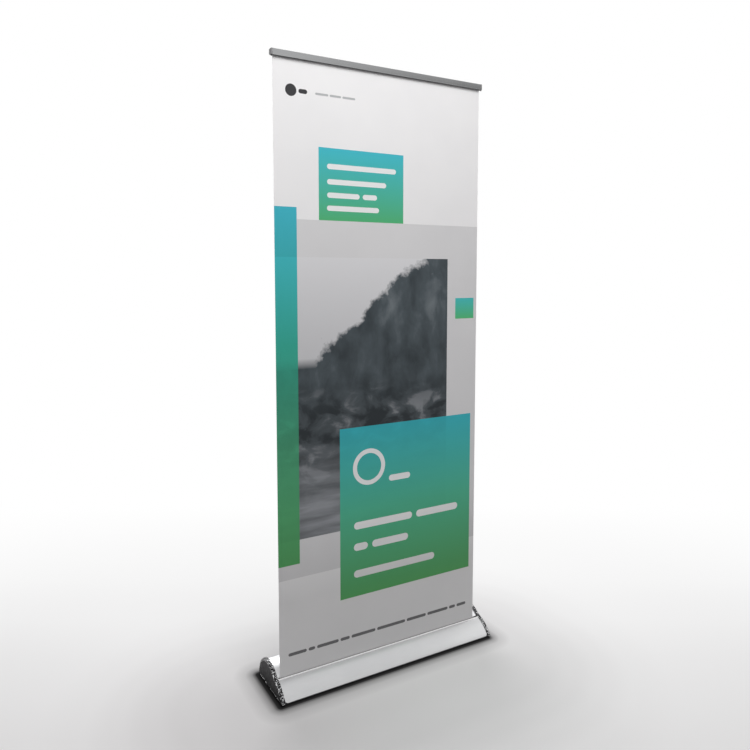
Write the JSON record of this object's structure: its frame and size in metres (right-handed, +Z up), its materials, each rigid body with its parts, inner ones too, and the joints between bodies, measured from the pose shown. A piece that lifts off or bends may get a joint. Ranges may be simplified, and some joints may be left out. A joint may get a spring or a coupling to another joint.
{
  "type": "roll-up banner stand",
  "caption": "Floor-standing roll-up banner: a wide low casing with a spring roller, a printed film drawn up from its slot, a clamp rail, and a leaning telescopic pole behind.",
  "frame": {"origin": "on the floor, at the middle of the casing's length and depth", "axes": "+X along the casing, towards the spring end; +Y towards the back, where the pole stands; +Z up"},
  "size_m": [0.856, 0.2164, 2.0772],
  "materials": {
    "tray_metal": "satin",
    "fascia_silver": "satin anodised",
    "cover_silver": "satin anodised",
    "black_pile": "short pile",
    "steel": "zinc plated",
    "cap_chrome": "polished",
    "inlay_dark": "fine grain",
    "rubber": "matte",
    "black_plastic": "fine grain",
    "tube_aluminium": "satin anodised",
    "bush_plastic": "satin",
    "film": "matte print film",
    "rail_aluminium": "satin anodised",
    "rail_cap_grey": "satin"
  },
  "bodies": {
    "base": {"base_tray": "tray_metal", "front_fascia": "fascia_silver", "rear_cover": "cover_silver", "slot_lining": "black_pile", "end_plate_left": "steel", "end_plate_right": "steel", "end_cap_left": "cap_chrome", "end_cap_right": "cap_chrome", "end_inlay_left": "inlay_dark", "end_inlay_right": "inlay_dark", "end_cap_screws": "steel", "rubber_feet": "rubber", "pole_socket": "black_plastic", "socket_screws": "steel", "pole_bezel": "black_plastic", "idle_axle": "steel", "spring_shaft": "steel", "spring_collar": "steel", "torsion_spring": "steel"},
    "roller": {"roller_tube": "tube_aluminium", "roller_plug_left": "black_plastic", "roller_plug_right": "black_plastic", "roller_bush_left": "bush_plastic", "roller_bush_right": "bush_plastic", "spring_anchor": "black_plastic", "graphic_roll": "film"},
    "top_rail": {"banner_sheet": "film", "rail_back": "rail_aluminium", "rail_cap_left": "rail_cap_grey", "rail_cap_right": "rail_cap_grey", "rail_bumpers": "rubber"},
    "rail_front": {"rail_jaw": "rail_aluminium", "rail_grip_strip": "rubber"},
    "pole_base": {"pole_lower": "tube_aluminium", "pole_foot_plug": "black_plastic"},
    "collar_low": {"lock_collar_lower": "black_plastic"},
    "pole_mid": {"pole_middle": "tube_aluminium", "glide_bush_middle": "bush_plastic"},
    "collar_high": {"lock_collar_upper": "black_plastic"},
    "pole_top": {"pole_upper": "tube_aluminium", "glide_bush_upper": "bush_plastic", "pole_head": "black_plastic"}
  },
  "joints": [
    {"name": "rail_retract", "type": "slide", "parent": "base", "child": "top_rail", "axis": [0, 0, 1], "range_m": [-1.997, 0], "deforming": ["banner_sheet"]},
    {"name": "rail_jaw_hinge", "type": "hinge", "parent": "top_rail", "child": "rail_front", "pos_m": [-0.008, -0.04425, 2.073], "axis": [-1, 0, 0], "range_deg": [0, 25]},
    {"name": "roller_spin", "type": "hinge", "parent": "base", "child": "roller", "pos_m": [0, -0.02055, 0.034], "axis": [1, 0, 0], "range_deg": [0, 5760]},
    {"name": "pole_lift", "type": "slide", "parent": "base", "child": "pole_base", "axis": [0, -0.019, 0.9998], "range_m": [0, 0.12]},
    {"name": "collar_low_twist", "type": "hinge", "parent": "pole_base", "child": "collar_low", "pos_m": [-0.008, 0.00534, 0.74187], "axis": [0, -0.019, 0.9998], "range_deg": [0, 90]},
    {"name": "pole_mid_slide", "type": "slide", "parent": "pole_base", "child": "pole_mid", "axis": [0, -0.019, 0.9998], "range_m": [-0.6, 0]},
    {"name": "collar_high_twist", "type": "hinge", "parent": "pole_mid", "child": "collar_high", "pos_m": [-0.008, -0.0074, 1.41275], "axis": [0, -0.019, 0.9998], "range_deg": [0, 90]},
    {"name": "pole_top_slide", "type": "slide", "parent": "pole_mid", "child": "pole_top", "axis": [0, -0.019, 0.9998], "range_m": [-0.6, 0]}
  ],
  "couplings": [
    {"joint": "roller_spin", "follows": "rail_retract", "rad_per_m": -50.25}
  ]
}
